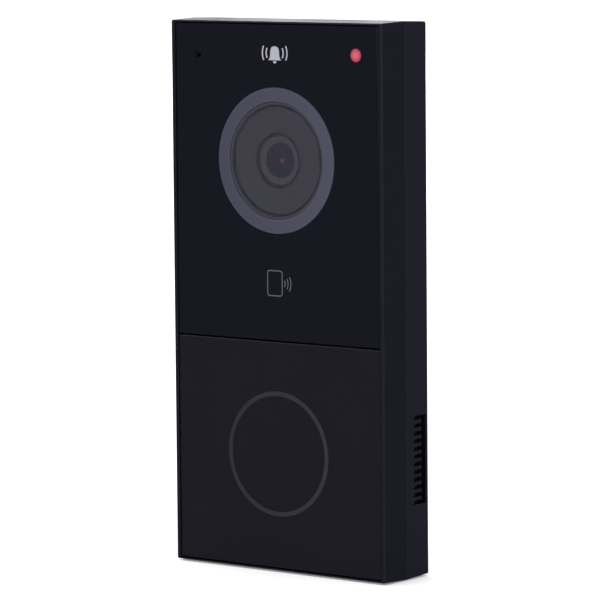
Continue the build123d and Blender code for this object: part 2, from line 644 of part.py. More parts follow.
def call_switch_plunger():
    top = DECK_BACK + MEMBRANE_T + 0.45
    return disc(0, CALL_Z, 1.74, top, BOARD_FRONT - 1.2)


# ---- Speaker ------------------------------------------------------------------------------------
def oblong(length, width, x0, x1):
    """Rounded plate facing +X, centred on the speaker's axis."""
    side = Plane(origin=(x0, SPEAKER_MID_Y, GRILLE_Z), x_dir=(0, 1, 0), z_dir=(1, 0, 0))
    return extrude(side * RectangleRounded(width, length, width * 0.3), amount=x1 - x0)


def speaker_frame():
    frame = brick(SPEAKER_X, SPEAKER_Y, (GRILLE_Z - SPEAKER_L / 2, GRILLE_Z + SPEAKER_L / 2))
    frame = fillet(frame.edges().filter_by(Axis.X), 1.5)
    frame -= oblong(26.4, 8.4, SPEAKER_X[0] + 1.0, SPEAKER_X[1])
    return frame - oblong(21.0, 5.6, SPEAKER_X[0], SPEAKER_X[0] + 1.0)


def speaker_magnet():
    """Steel pot with the magnet standing in it, open where the coil enters."""
    back = SPEAKER_X[0] - 3.0
    pot = oblong(21.0, 5.6, back, SPEAKER_X[0] + 0.9)
    pot -= oblong(19.2, 4.4, back + 0.8, SPEAKER_X[0] + 0.9)
    return pot + oblong(15.6, 2.4, back + 0.8, SPEAKER_X[0] + 0.7)


def speaker_cone():
    cone = oblong(23.0, 6.2, SPEAKER_X[1] - 0.75, SPEAKER_X[1] - 0.5)
    return cone + oblong(16.0, 3.0, SPEAKER_X[1] - 0.5, SPEAKER_X[1] - 0.2)


def voice_coil():
    coil = oblong(17.6, 3.6, SPEAKER_X[0] - 0.9, SPEAKER_X[1] - 0.75)
    return coil - oblong(16.8, 2.9, SPEAKER_X[0] - 0.9, SPEAKER_X[1] - 0.75)


def speaker_surround():
    """Soft rubber roll between the cone and the frame."""
    roll = oblong(26.4, 8.4, SPEAKER_X[1] - 0.75, SPEAKER_X[1] - 0.45)
    return roll - oblong(23.1, 6.3, SPEAKER_X[1] - 0.75, SPEAKER_X[1] - 0.45)


def speaker_gasket():
    back, front = SPEAKER_Y
    height = SPEAKER_L / 2
    deep = (SPEAKER_X[1] + 0.02, CAVITY_W / 2)
    gasket = brick(deep, (back, front), (GRILLE_Z - height, GRILLE_Z + height))
    return gasket - brick(deep, (back + 1, front - 1), (GRILLE_Z - height + 1.2, GRILLE_Z + height - 1.2))


def speaker_mesh():
    front = CAVITY_W / 2
    height = SPEAKER_L / 2 - 1.2
    ys = (SPEAKER_Y[0] + 1, SPEAKER_Y[1] - 1)
    return brick((front - 0.35, front), ys, (GRILLE_Z - height, GRILLE_Z + height))


# ---- Service switches on the back ---------------------------------------------------------------
def tamper_switch():
    body = plate(TAMPER_X, SWITCH_Z, 6.0, 6.0, BOARD_BACK, -4.9, 0.5)
    body -= disc(TAMPER_X, SWITCH_Z, 2.3, BOARD_BACK + 0.6, -5.5)
    return body - disc(TAMPER_X, SWITCH_Z, 1.6, -5.5, -4.9)


def tamper_plunger():
    """Pin that the wall holds in. It springs out when the doorbell leaves the wall."""
    pin = disc(TAMPER_X, SWITCH_Z, 1.5, -7.9, -0.05)
    pin = fillet(end_edges(pin, front=False), 0.5)
    return pin + disc(TAMPER_X, SWITCH_Z, 2.2, -8.1, -7.4)


def reset_switch():
    body = plate(RESET_X, SWITCH_Z, 4.5, 4.5, BOARD_BACK, BOARD_BACK + 2.0, 0.3)
    return body - disc(RESET_X, SWITCH_Z, 1.05, BOARD_BACK + 0.5, BOARD_BACK + 2.0)


def reset_plunger():
    return disc(RESET_X, SWITCH_Z, 1.0, BOARD_BACK + 0.9, BOARD_BACK + 2.8)


# ---- Wiring entry -------------------------------------------------------------------------------
def terminal_block():
    """Eight-way screw terminal for the supply, the network pair and the door release."""
    block = brick((-14.25, 14.25), (BOARD_BACK, -3.4), (-11.7, -5.0))
    for k in range(8):
        x = -12.25 + 3.5 * k
        block -= brick((x - 1.2, x + 1.2), (-7.9, -5.4), (-11.7, -8.2))
        block -= disc(x, -7.6, 1.25, -5.4, -3.4)
    return block


def terminal_screws():
    pieces = []
    for k in range(8):
        x = -12.25 + 3.5 * k
        head = disc(x, -7.6, 1.15, -5.4, -4.2)
        pieces.append(head - plate(x, -7.6, 1.9, 0.35, -4.7, -4.2))
    return group(pieces)


def terminal_cover():
    cover = plate(0, ENTRY_Z, COVER_W, COVER_H, TRAY_BACK, -0.9, 2.0)
    cover -= disc(0, GLAND_Z, 3.6, TRAY_BACK, -0.9)
    for x in (-COVER_SCREW_X, COVER_SCREW_X):
        cover -= disc(x, ENTRY_Z, 1.1, TRAY_BACK, -0.9)
        cover -= disc(x, ENTRY_Z, 1.9, -1.5, -0.9)
    return cover


def cable_gland():
    """Rubber grommet gripping the cable, with a flange on each side of the cover."""
    gland = disc(0, GLAND_Z, 3.6, TRAY_BACK, -0.9)
    gland += disc(0, GLAND_Z, 4.3, -0.9, -0.2)
    gland += disc(0, GLAND_Z, 4.3, TRAY_BACK - 1.0, TRAY_BACK)
    gland += disc(0, GLAND_Z, 3.5, -5.6, TRAY_BACK - 1.0)
    return gland - disc(0, GLAND_Z, GLAND_BORE_R, -5.6, -0.2)


def cover_screws():
    points = (-COVER_SCREW_X, COVER_SCREW_X)
    return group(screw_from_back(x, ENTRY_Z, -1.5, 1.7, 0.6, 0.8, 3.6) for x in points)


# ---- Wall bracket -------------------------------------------------------------------------------
def wall_bracket():
    """Pressed steel plate with two hooks above and a screw tab below."""
    bracket = plate(0, 0, BRACKET_W, BRACKET_H, -BRACKET_T, 0, 3.0)
    bracket -= plate(0, ENTRY_Z, *BRACKET_WINDOW, -BRACKET_T, 0, 2.4)
    for pitch in BOX_PITCHES:
        for side in (-1, 1):
            bracket -= disc(0, side * pitch / 2, BOX_SCREW_R, -BRACKET_T, 0)
    bracket -= disc(TAMPER_X, SWITCH_Z, 2.6, -BRACKET_T, 0)
    for side in (-1, 1):
        xs = (side * HOOK_X - HOOK_W / 2, side * HOOK_X + HOOK_W / 2)
        low, high = HOOK_STEM_Z - HOOK_STEM_T / 2, HOOK_STEM_Z + HOOK_STEM_T / 2
        bracket += brick(xs, (TRAY_FRONT - 1.5, -BRACKET_T + 0.2), (low, high))
        bracket += brick(xs, (TRAY_FRONT - 1.5, TRAY_FRONT - 0.15), (low, high + 4.0))
    bracket += brick((-5.0, 5.0), (LOCK_Y - 2.2, -BRACKET_T + 0.2), (TAB_Z - 0.75, TAB_Z + 0.75))
    return bracket - Pos(0, LOCK_Y, TAB_Z) * Cylinder(1.5, 4.0)


def bracket_lock_screw():
    """Security screw from below, through the rear shell and into the bracket's tab."""
    seat = -HEIGHT / 2 + 2.0
    screw = Pos(0, LOCK_Y, (seat + TAB_Z + 1.6) / 2) * Cylinder(1.45, TAB_Z + 1.6 - seat)
    head = Pos(0, LOCK_Y, seat - 0.65) * Cylinder(2.4, 1.3)
    drive = extrude(Plane.XY.offset(seat - 1.3) * Pos(0, LOCK_Y) * RegularPolygon(1.1, 6), amount=0.8)
    return screw + head - drive


PARTS = {
    "front_housing": front_housing,
    "rear_housing": rear_housing,
    "housing_seal": housing_seal,
    "case_screws": case_screws,
    "upper_panel": upper_panel,
    "panel_tape": panel_tape,
    "light_diffuser": light_diffuser,
    "camera_window": camera_window,
    "camera_bezel": camera_bezel,
    "light_board": light_board,
    "fill_leds": fill_leds,
    "small_screws": small_screws,
    "lens_barrel": lens_barrel,
    "lens_front_element": lens_front_element,
    "lens_inner_elements": lens_inner_elements,
    "lens_holder": lens_holder,
    "infrared_filter": infrared_filter,
    "image_sensor": image_sensor,
    "camera_board": camera_board,
    "camera_standoffs": camera_standoffs,
    "camera_screws": camera_screws,
    "camera_flex": camera_flex,
    "main_board": main_board,
    "main_board_screws": main_board_screws,
    "board_chips": board_chips,
    "radio_shield": radio_shield,
    "board_capacitors": board_capacitors,
    "reader_antenna_board": reader_antenna_board,
    "reader_antenna_coil": reader_antenna_coil,
    "ferrite_sheet": ferrite_sheet,
    "wireless_antenna": wireless_antenna,
    "microphone": microphone,
    "microphone_boot": microphone_boot,
    "status_light_pipe": status_light_pipe,
    "board_leds": board_leds,
    "call_panel": call_panel,
    "call_light_ring": call_light_ring,
    "call_membrane": call_membrane,
    "membrane_retainer": membrane_retainer,
    "call_bumpers": call_bumpers,
    "call_switch": call_switch,
    "call_switch_plunger": call_switch_plunger,
    "speaker_frame": speaker_frame,
    "speaker_magnet": speaker_magnet,
    "speaker_cone": speaker_cone,
    "voice_coil": voice_coil,
    "speaker_surround": speaker_surround,
    "speaker_gasket": speaker_gasket,
    "speaker_mesh": speaker_mesh,
    "tamper_switch": tamper_switch,
    "tamper_plunger": tamper_plunger,
    "reset_switch": reset_switch,
    "reset_plunger": reset_plunger,
    "terminal_block": terminal_block,
    "terminal_screws": terminal_screws,
    "terminal_cover": terminal_cover,
    "cable_gland": cable_gland,
    "cover_screws": cover_screws,
    "wall_bracket": wall_bracket,
    "bracket_lock_screw": bracket_lock_screw,
}

os.makedirs("parts", exist_ok=True)
for name, make in PARTS.items():
    export_step(make(), f"parts/{name}.step")
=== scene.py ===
"""Visual model of the slim wall-mounted video doorbell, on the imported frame."""

import math

import bmesh
import bpy
from mathutils import Matrix, Vector


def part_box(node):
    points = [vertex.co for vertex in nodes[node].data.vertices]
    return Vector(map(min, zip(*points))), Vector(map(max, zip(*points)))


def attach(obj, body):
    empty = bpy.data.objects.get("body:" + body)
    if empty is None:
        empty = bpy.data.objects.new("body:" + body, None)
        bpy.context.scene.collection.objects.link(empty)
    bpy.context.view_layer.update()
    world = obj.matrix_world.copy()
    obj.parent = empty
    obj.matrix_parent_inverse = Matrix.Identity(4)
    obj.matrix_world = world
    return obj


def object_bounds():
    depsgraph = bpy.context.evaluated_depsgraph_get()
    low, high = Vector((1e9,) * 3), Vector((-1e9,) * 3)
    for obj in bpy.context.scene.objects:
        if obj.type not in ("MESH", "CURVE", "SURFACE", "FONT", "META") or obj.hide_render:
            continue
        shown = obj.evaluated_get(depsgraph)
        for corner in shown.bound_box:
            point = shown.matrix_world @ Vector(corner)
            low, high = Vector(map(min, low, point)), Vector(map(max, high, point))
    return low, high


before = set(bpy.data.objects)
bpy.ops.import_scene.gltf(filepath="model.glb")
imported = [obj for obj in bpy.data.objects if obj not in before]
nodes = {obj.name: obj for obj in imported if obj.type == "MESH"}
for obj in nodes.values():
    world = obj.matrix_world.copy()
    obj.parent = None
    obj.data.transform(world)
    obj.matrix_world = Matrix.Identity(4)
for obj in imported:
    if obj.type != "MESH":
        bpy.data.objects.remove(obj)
cad_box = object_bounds()
MM = 0.001
TURN = 2 * math.pi
FACE_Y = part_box("upper_panel")[0].y     # front of both panels


# ---- Node materials -----------------------------------------------------------------------------
class Material:
    """A Principled material with small helpers for procedural patterns in object space."""

    def __init__(self, name, **sockets):
        self.mat = bpy.data.materials.new(name)
        self.mat.use_nodes = True
        self.tree = self.mat.node_tree
        self.shader = self.tree.nodes["Principled BSDF"]
        self.coords = self.tree.nodes.new("ShaderNodeTexCoord").outputs["Object"]
        for socket, value in sockets.items():
            self.shader.inputs[socket.replace("_", " ")].default_value = value

    def node(self, kind, **settings):
        made = self.tree.nodes.new(kind)
        for key, value in settings.items():
            if hasattr(made, key):
                setattr(made, key, value)
            else:
                made.inputs[key.replace("_", " ")].default_value = value
        return made

    def link(self, a, b):
        self.tree.links.new(a, b)
        return b

    def into(self, output, socket):
        self.link(output, self.shader.inputs[socket])

    def noise(self, scale, detail=3.0, roughness=0.55, stretch=None):
        """Noise at scale cycles per metre, stretched along the axes if asked."""
        texture = self.node("ShaderNodeTexNoise", Scale=scale, Detail=detail, Roughness=roughness)
        source = self.coords
        if stretch:
            mapping = self.node("ShaderNodeMapping")
            mapping.inputs["Scale"].default_value = stretch
            self.link(source, mapping.inputs["Vector"])
            source = mapping.outputs[0]
        self.link(source, texture.inputs["Vector"])
        return texture.outputs["Fac"]

    def remap(self, output, low, high, to_low, to_high):
        made = self.node("ShaderNodeMapRange")
        limits = {"From Min": low, "From Max": high, "To Min": to_low, "To Max": to_high}
        for key, value in limits.items():
            made.inputs[key].default_value = value
        self.link(output, made.inputs["Value"])
        return made.outputs["Result"]

    def maths(self, operation, a, b=None, c=None):
        made = self.node("ShaderNodeMath", operation=operation)
        for socket, value in zip(made.inputs, (a, b, c)):
            if value is None:
                continue
            if isinstance(value, (int, float)):
                socket.default_value = value
            else:
                self.link(value, socket)
        return made.outputs[0]

    def mix(self, factor, a, b):
        """Colour mix; a and b are colours or outputs."""
        made = self.node("ShaderNodeMix", data_type="RGBA")
        self.link(factor, made.inputs["Factor"])
        for socket, value in ((made.inputs[6], a), (made.inputs[7], b)):
            if isinstance(value, tuple):
                socket.default_value = value
            else:
                self.link(value, socket)
        return made.outputs[2]

    def bump(self, height, strength, distance, normal=None):
        made = self.node("ShaderNodeBump", Strength=strength, Distance=distance)
        self.link(height, made.inputs["Height"])
        if normal is not None:
            self.link(normal, made.inputs["Normal"])
        return made.outputs["Normal"]

    def xyz(self):
        made = self.node("ShaderNodeSeparateXYZ")
        self.link(self.coords, made.inputs[0])
        return made.outputs

    def edges(self, width):
        """0 on flats, 1 on edges and corners, over a band about width metres wide."""
        bevel = self.node("ShaderNodeBevel", samples=4, Radius=width)
        normal = self.node("ShaderNodeNewGeometry").outputs["Normal"]
        dot = self.node("ShaderNodeVectorMath", operation="DOT_PRODUCT")
        self.link(bevel.outputs[0], dot.inputs[0])
        self.link(normal, dot.inputs[1])
        return self.remap(dot.outputs["Value"], 0.995, 0.9, 0, 1)

    def radius(self, x, z):
        """Distance in metres from the line along Y through (x, z)."""
        axes = self.xyz()
        dx = self.maths("SUBTRACT", axes[0], x)
        dz = self.maths("SUBTRACT", axes[2], z)
        squares = self.maths("ADD", self.maths("POWER", dx, 2), self.maths("POWER", dz, 2))
        return self.maths("SQRT", squares)


def scaled(colour, factor):
    return tuple(min(1.0, c * factor) for c in colour[:3]) + (1.0,)


def moulded(name, colour, rough, grain=2600, depth=0.006, spread=0.1, worn=0.0, worn_to=1.0,
            painted_shade_box=None):
    """Moulded plastic: eroded grain, faint cloudy colour, handling marks, and edges rubbed paler.

    grain is in cycles per metre and depth in mm. worn is how much the edges pale, and worn_to the Y
    up to which they do. Inside the box given by the last argument, as (X limits, Y limits, Z limits),
    the surface is darkened to dull black: painted shade for a hollow.
    """
    m = Material(name, Specular_IOR_Level=0.5)
    tone = m.mix(m.noise(55, 4), scaled(colour, 1 - spread), scaled(colour, 1 + spread))
    smudge = m.remap(m.noise(38, 5, 0.6), 0.3, 0.7, rough - 0.05, rough + 0.06)
    if worn:
        rub = m.maths("MULTIPLY", m.edges(0.35 * MM), m.remap(m.noise(240, 4), 0.3, 0.6, 0.55, 1.0))
        rub = m.maths("MULTIPLY", rub, m.maths("LESS_THAN", m.xyz()[1], worn_to))
        tone = m.mix(m.maths("MULTIPLY", rub, worn), tone, scaled(colour, 2.4))
        smudge = m.maths("SUBTRACT", smudge, m.maths("MULTIPLY", rub, 0.1))
    # Painted shade: faces inside the box get a tenth of the colour and a rough finish.
    if painted_shade_box:
        inside = 1.0
        for axis, (low, high) in zip(m.xyz(), painted_shade_box):
            inside = m.maths("MULTIPLY", inside, m.maths("GREATER_THAN", axis, low))
            inside = m.maths("MULTIPLY", inside, m.maths("LESS_THAN", axis, high))
        tone = m.mix(inside, tone, scaled(colour, 0.1))
        smudge = m.maths("MAXIMUM", smudge, m.maths("MULTIPLY", inside, 0.9))
    m.into(tone, "Base Color")
    m.into(smudge, "Roughness")
    m.into(m.bump(m.noise(grain, 4, 0.6), 0.35, depth * MM), "Normal")
    return m.mat


def polished(name, colour, rough, worn=0.0, dim=None):
    """Gloss plastic: slight moulding waviness, hair-fine wiping marks and dust in the gloss.

    dim = (x, z, radius) darkens and dulls a small spot round a hole: painted shade for the shallow dish
    there.
    """
    m = Material(name, Specular_IOR_Level=0.5)
    tone = m.mix(m.noise(30, 2), scaled(colour, 0.93), scaled(colour, 1.05))
    if worn:
        tone = m.mix(m.maths("MULTIPLY", m.edges(0.2 * MM), worn), tone, scaled(colour, 2.2))
    wipe = m.noise(420, 4, 0.7, stretch=(1.0, 1.0, 0.05))
    dull = m.remap(wipe, 0.35, 0.75, rough, rough + 0.05)
    # Painted shade: a darker, duller spot round the hole stands in for the shading of its shallow dish.
    if dim:
        x, z, radius = dim
        spot = m.remap(m.radius(x, z), 0.4 * radius, radius, 1, 0)
        tone = m.mix(spot, tone, scaled(colour, 0.45))
        dull = m.maths("ADD", dull, m.maths("MULTIPLY", spot, 0.06))
    m.into(tone, "Base Color")
    m.into(dull, "Roughness")
    m.into(m.bump(m.noise(70, 2), 0.2, 0.0006 * MM), "Normal")
    return m.mat


def metal(name, colour, rough, brushed=(1.0, 1.0, 1.0)):
    """Metal with a cloudy surface, and fine marks stretched along the axes by brushed."""
    m = Material(name, Metallic=1.0)
    m.into(m.mix(m.noise(300, 3), scaled(colour, 0.78), colour), "Base Color")
    marks = m.noise(900, 3, 0.6, brushed)
    m.into(m.remap(marks, 0.3, 0.7, rough - 0.06, rough + 0.1), "Roughness")
    m.into(m.bump(m.noise(900, 3, 0.6, brushed), 0.3, 0.004 * MM), "Normal")
    return m.mat


def rubber(name, colour, rough=0.75):
    """Matt rubber, dusty in fine specks."""
    m = Material(name, Specular_IOR_Level=0.35)
    light = tuple(min(1.0, c * 1.35 + 0.002) for c in colour[:3]) + (1.0,)
    m.into(m.mix(m.noise(700, 5, 0.65), colour, light), "Base Color")
    m.into(m.remap(m.noise(120, 3), 0.3, 0.7, rough - 0.08, rough + 0.08), "Roughness")
    m.into(m.bump(m.noise(3200, 3), 0.4, 0.01 * MM), "Normal")
    return m.mat


def circuit_board(name):
    """Black solder mask over fine copper tracks."""
    m = Material(name, Coat_Weight=0.4)
    voronoi = m.node("ShaderNodeTexVoronoi", distance="MANHATTAN", feature="DISTANCE_TO_EDGE", Scale=420)
    m.link(m.coords, voronoi.inputs["Vector"])
    track = m.remap(voronoi.outputs["Distance"], 0.05, 0.09, 0, 1)
    m.into(m.mix(track, (0.03, 0.036, 0.034, 1), (0.009, 0.011, 0.011, 1)), "Base Color")
    m.into(m.remap(m.noise(200), 0.3, 0.7, 0.25, 0.38), "Roughness")
    m.into(m.bump(track, 0.3, 0.02 * MM), "Normal")
    return m.mat


def woven(name, colour, pitch):
    """Acoustic cloth: two crossed threads at the given pitch in metres."""
    m = Material(name, Sheen_Weight=0.3)
    axes = m.xyz()
    warp = m.maths("SINE", m.maths("MULTIPLY", axes[1], TURN / pitch))
    weft = m.maths("SINE", m.maths("MULTIPLY", axes[2], TURN / pitch))
    height = m.maths("MULTIPLY", warp, weft)
    m.into(m.mix(m.remap(height, -1, 1, 0, 1), colour, scaled(colour, 2.2)), "Base Color")
    m.into(m.remap(m.noise(900), 0.3, 0.7, 0.75, 0.9), "Roughness")
    m.into(m.bump(height, 0.6, 0.05 * MM), "Normal")
    return m.mat


def clear_glass(name, colour):
    """Solid tinted glass with faint marks."""
    m = Material(name, Transmission_Weight=1.0, IOR=1.49)
    m.into(m.mix(m.noise(40, 2), scaled(colour, 0.96), colour), "Base Color")
    m.into(m.remap(m.noise(260, 4, 0.7), 0.4, 0.8, 0.0, 0.03), "Roughness")
    return m.mat


def thin_pane(name, colour, haze, mirror):
    """Thin clear cover: a faint haze seen face on, a painted reflection, and more mirror than view at a
    low angle.
    """
    m = Material(name, Specular_IOR_Level=0.5, IOR=1.49)
    m.into(m.mix(m.noise(40, 2), scaled(colour, 0.94), colour), "Base Color")
    m.into(m.remap(m.noise(260, 4, 0.7), 0.4, 0.8, 0.03, 0.07), "Roughness")
    facing = m.node("ShaderNodeLayerWeight", Blend=0.5).outputs["Facing"]
    grazing = m.maths("MULTIPLY", m.maths("POWER", facing, 5.0), mirror)
    # Painted reflection: dust is the haze, a pale lit layer standing in for the cover's reflection of
    # the bright studio, made uneven by noise.
    dust = m.remap(m.noise(700, 4, 0.7), 0.35, 0.75, haze * 0.93, haze * 1.07)
    m.into(m.maths("ADD", dust, grazing), "Alpha")
    return m.mat


def coated_lens(name, x, z, spot, dark, glint_colour, cover):
    """Dark lens glass with a painted glint: a coloured highlight painted at (x, z), spot metres in
    radius.

    cover is the alpha away from the painted glint.
    """
    m = Material(name, Specular_IOR_Level=0.6, Coat_Weight=0.3, Coat_Roughness=0.05)
    # Painted glint: a coloured highlight painted into the colour and the alpha, fading out towards the
    # spot's edge.
    painted_glint = m.remap(m.radius(x, z), 0.25 * spot, spot, 1, 0)
    share = m.maths("MULTIPLY", painted_glint, m.remap(m.noise(900, 2), 0, 1, 0.8, 1.2))
    m.into(m.mix(share, dark, glint_colour), "Base Color")
    m.into(m.remap(m.noise(500, 3), 0.3, 0.7, 0.1, 0.18), "Roughness")
    alpha = m.maths("ADD", m.maths("MULTIPLY", share, 0.9), cover)
    m.into(m.maths("MAXIMUM", alpha, cover), "Alpha")
    return m.mat


def frosted(name, colour, rough, x, z, inner, outer):
    """Frosted light guide: fine prisms round its axis, a little paler towards its rims; painted light
    pales it to +X.
    """
    m = Material(name, Specular_IOR_Level=0.5)
    away = m.radius(x, z)
    rim = m.maths("ABSOLUTE", m.remap(away, inner, outer, -1, 1))
    speck = m.remap(m.noise(1500, 3, 0.7), 0.3, 0.7, 0.0, 0.12)
    share = m.maths("ADD", m.remap(rim, 0.55, 1.0, 0.0, 0.25), speck)
    # Painted light: cloudy runs from 0.9 to 1.14 times the colour from -X to +X, as if lit from the
    # right.
    painted_light_ramp = m.remap(m.xyz()[0], -outer, outer, 0, 1)
    cloudy = m.mix(painted_light_ramp, scaled(colour, 0.9), scaled(colour, 1.14))
    m.into(m.mix(share, cloudy, scaled(colour, 1.5)), "Base Color")
    m.into(m.remap(m.noise(300, 3), 0.3, 0.7, rough - 0.04, rough + 0.05), "Roughness")
    groove = m.maths("SINE", m.maths("MULTIPLY", away, TURN / (0.35 * MM)))
    m.into(m.bump(groove, 0.15, 0.004 * MM), "Normal")
    return m.mat


def bezel(name, colour, lip, x, z, lip_from):
    """Moulded surface behind the window, with a paler, finely turned lip beyond lip_from."""
    m = Material(name, Specular_IOR_Level=0.4)
    away = m.radius(x, z)
    tone = m.mix(m.noise(90, 4), scaled(colour, 0.93), scaled(colour, 1.07))
    m.into(m.mix(m.maths("GREATER_THAN", away, lip_from), tone, lip), "Base Color")
    m.into(m.remap(m.noise(60, 4), 0.3, 0.7, 0.44, 0.56), "Roughness")
    turned = m.maths("SINE", m.maths("MULTIPLY", away, TURN / (0.5 * MM)))
    m.into(m.bump(m.maths("ADD", turned, m.noise(2600, 3)), 0.3, 0.006 * MM), "Normal")
    return m.mat


def glow(name, x, z, radius, core, edge, strength):
    """Translucent lens lit from behind: bright core, deeper coloured edge, fine diffusing specks."""
    m = Material(name, Roughness=0.25, Specular_IOR_Level=0.5, Emission_Strength=strength)
    share = m.remap(m.radius(x, z), 0.15 * radius, radius, 0, 1)
    speck = m.remap(m.noise(2600, 3), 0.3, 0.7, 0.85, 1.15)
    colour = m.mix(m.maths("MULTIPLY", m.maths("POWER", share, 1.3), speck), core, edge)
    m.into(m.mix(m.noise(1200, 2), scaled(edge, 0.2), scaled(edge, 0.35)), "Base Color")
    m.into(colour, "Emission Color")
    return m.mat


def paint(node, material):
    """Give a CAD node one material."""
    data = nodes[node].data
    data.materials.clear()
    data.materials.append(material)


def centre(node):
    """X and Z of the middle of a node's box."""
    low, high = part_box(node)
    return (low.x + high.x) / 2, (low.z + high.z) / 2


camera_x, camera_z = centre("camera_window")
call_x, call_z = centre("call_light_ring")
status_x, status_z = centre("status_light_pipe")
mic_x, mic_z = centre("microphone_boot")

# The speaker slots and the channel behind them, up to just under the side's surface: painted shade
# inside.
GRILLE_PAINTED_SHADE = ((33.5 * MM, 35.9 * MM), (-7.0 * MM, -1.2 * MM), (-55.3 * MM, -30.7 * MM))

shell_front = moulded("shell_front", (0.0078, 0.0080, 0.0148, 1), 0.42, worn=0.4, worn_to=-15 * MM)
shell_rear = moulded("shell_rear", (0.0104, 0.0103, 0.0195, 1), 0.46, painted_shade_box=GRILLE_PAINTED_SHADE)
cover_black = moulded("cover_black", (0.0113, 0.0110, 0.0150, 1), 0.5)
black_plastic = moulded("black_plastic", (0.012, 0.012, 0.013, 1), 0.5)
white_silicone = rubber("white_silicone", (0.55, 0.56, 0.56, 1), 0.5)
black_rubber = rubber("black_rubber", (0.008, 0.008, 0.009, 1))
zinc = metal("zinc", (0.62, 0.62, 0.6, 1), 0.32)
black_zinc = metal("black_zinc", (0.09, 0.09, 0.095, 1), 0.4)
tinned = metal("tinned", (0.72, 0.72, 0.7, 1), 0.28, (1, 1, 12))
copper = metal("copper", (0.85, 0.45, 0.2, 1), 0.3)
board = circuit_board("board")
chip = moulded("chip", (0.013, 0.013, 0.015, 1), 0.55, spread=0.2)
lens_black = moulded("lens_black", (0.0430, 0.0402, 0.0465, 1), 0.38, grain=1800)
# The window's haze is a painted reflection of the bright studio.
window_glass = thin_pane("window_glass", (0.122, 0.120, 0.159, 1), 0.12, 0.75)
polyimide = polished("polyimide", (0.5, 0.2, 0.03, 1), 0.25)
bracket_coat = moulded("bracket_coat", (0.016, 0.016, 0.018, 1), 0.55, grain=1400, depth=0.02, worn=0.3)

FINISHES = {
    shell_front: ["front_housing"],
    shell_rear: ["rear_housing"],
    cover_black: ["terminal_cover"],
    # The gloss panel's dim spot round the microphone hole is painted shade.
    polished("gloss_panel", (0.0057, 0.0057, 0.0095, 1), 0.14, worn=0.5,
             dim=(mic_x - 0.1 * MM, mic_z, 1.5 * MM)): ["upper_panel"],
    moulded("call_panel_satin", (0.0084, 0.0082, 0.0124, 1), 0.36, grain=3200, depth=0.004,
            worn=0.5): ["call_panel"],
    frosted("smoked_diffuser", (0.0545, 0.0535, 0.079, 1), 0.3, camera_x, camera_z,
            15.95 * MM, 19.8 * MM): ["light_diffuser"],
    bezel("bezel_grey", (0.0272, 0.0272, 0.0338, 1), (0.048, 0.046, 0.065, 1), camera_x, camera_z,
          15.1 * MM): ["camera_bezel"],
    frosted("frosted_ring", (0.024, 0.026, 0.033, 1), 0.35, call_x, call_z, 15.9 * MM, 17.1 * MM):
        ["call_light_ring"],
    window_glass: ["camera_window"],
    # Both lenses carry a painted glint: pink on the front element, faint blue on the inner elements.
    coated_lens("lens_front", camera_x + 1.1 * MM, camera_z, 1.1 * MM, (0.006, 0.006, 0.009, 1),
                (0.11, 0.030, 0.06, 1), 0.85): ["lens_front_element"],
    coated_lens("lens_inner", camera_x, camera_z, 2.0 * MM, (0.006, 0.006, 0.009, 1),
                (0.02, 0.03, 0.06, 1), 0.8): ["lens_inner_elements"],
    clear_glass("filter_glass", (0.9, 0.6, 0.62, 1)): ["infrared_filter"],
    lens_black: ["lens_barrel", "lens_holder"],
    black_rubber: ["housing_seal", "microphone_boot", "call_bumpers", "speaker_gasket",
                   "speaker_surround", "cable_gland", "panel_tape"],
    white_silicone: ["call_membrane"],
    zinc: ["small_screws", "camera_standoffs", "camera_screws", "main_board_screws", "membrane_retainer",
           "terminal_screws", "cover_screws", "speaker_magnet"],
    black_zinc: ["case_screws", "bracket_lock_screw"],
    tinned: ["radio_shield", "board_capacitors", "microphone"],
    copper: ["reader_antenna_coil", "voice_coil"],
    board: ["light_board", "camera_board", "main_board", "reader_antenna_board"],
    chip: ["board_chips", "image_sensor", "ferrite_sheet"],
    polyimide: ["camera_flex", "wireless_antenna"],
    polished("diode", (0.8, 0.72, 0.35, 1), 0.2): ["fill_leds", "board_leds"],
    moulded("terminal_green", (0.02, 0.2, 0.06, 1), 0.45): ["terminal_block"],
    black_plastic: ["call_switch", "call_switch_plunger", "speaker_frame", "tamper_switch",
                    "tamper_plunger", "reset_switch", "reset_plunger"],
    woven("speaker_cloth", (0.008, 0.008, 0.009, 1), 0.0006): ["speaker_mesh"],
    woven("cone_paper", (0.02, 0.02, 0.022, 1), 0.0012): ["speaker_cone"],
    bracket_coat: ["wall_bracket"],
}
for material, names in FINISHES.items():
    for name in names:
        paint(name, material)

paint("status_light_pipe", glow("status_glow", status_x, status_z, 1.8 * MM, (0.80, 0.17, 0.22, 1),
                                (0.36, 0.035, 0.07, 1), 0.75))


# ---- Printed marks on the gloss panel -----------------------------------------------------------
INK_T = 0.02 * MM


def print_mark(name, shapes, material):
    """Flat solids of ink standing on the panel. A shape is a closed outline in mm, in X and Z."""
    mesh = bmesh.new()
    for outline in shapes:
        back = [mesh.verts.new((x * MM, FACE_Y, z * MM)) for x, z in outline]
        front = [mesh.verts.new((x * MM, FACE_Y - INK_T, z * MM)) for x, z in outline]
        mesh.faces.new(back)
        mesh.faces.new(front[::-1])
        for i in range(len(outline)):
            k = (i + 1) % len(outline)
            mesh.faces.new((back[i], front[i], front[k], back[k]))
    bmesh.ops.recalc_face_normals(mesh, faces=mesh.faces)
    bmesh.ops.triangulate(mesh, faces=mesh.faces)
    data = bpy.data.meshes.new(name)
    mesh.to_mesh(data)
    mesh.free()
    data.materials.append(material)
    piece = bpy.data.objects.new(name, data)
    bpy.context.scene.collection.objects.link(piece)
    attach(piece, "unit")
    return piece


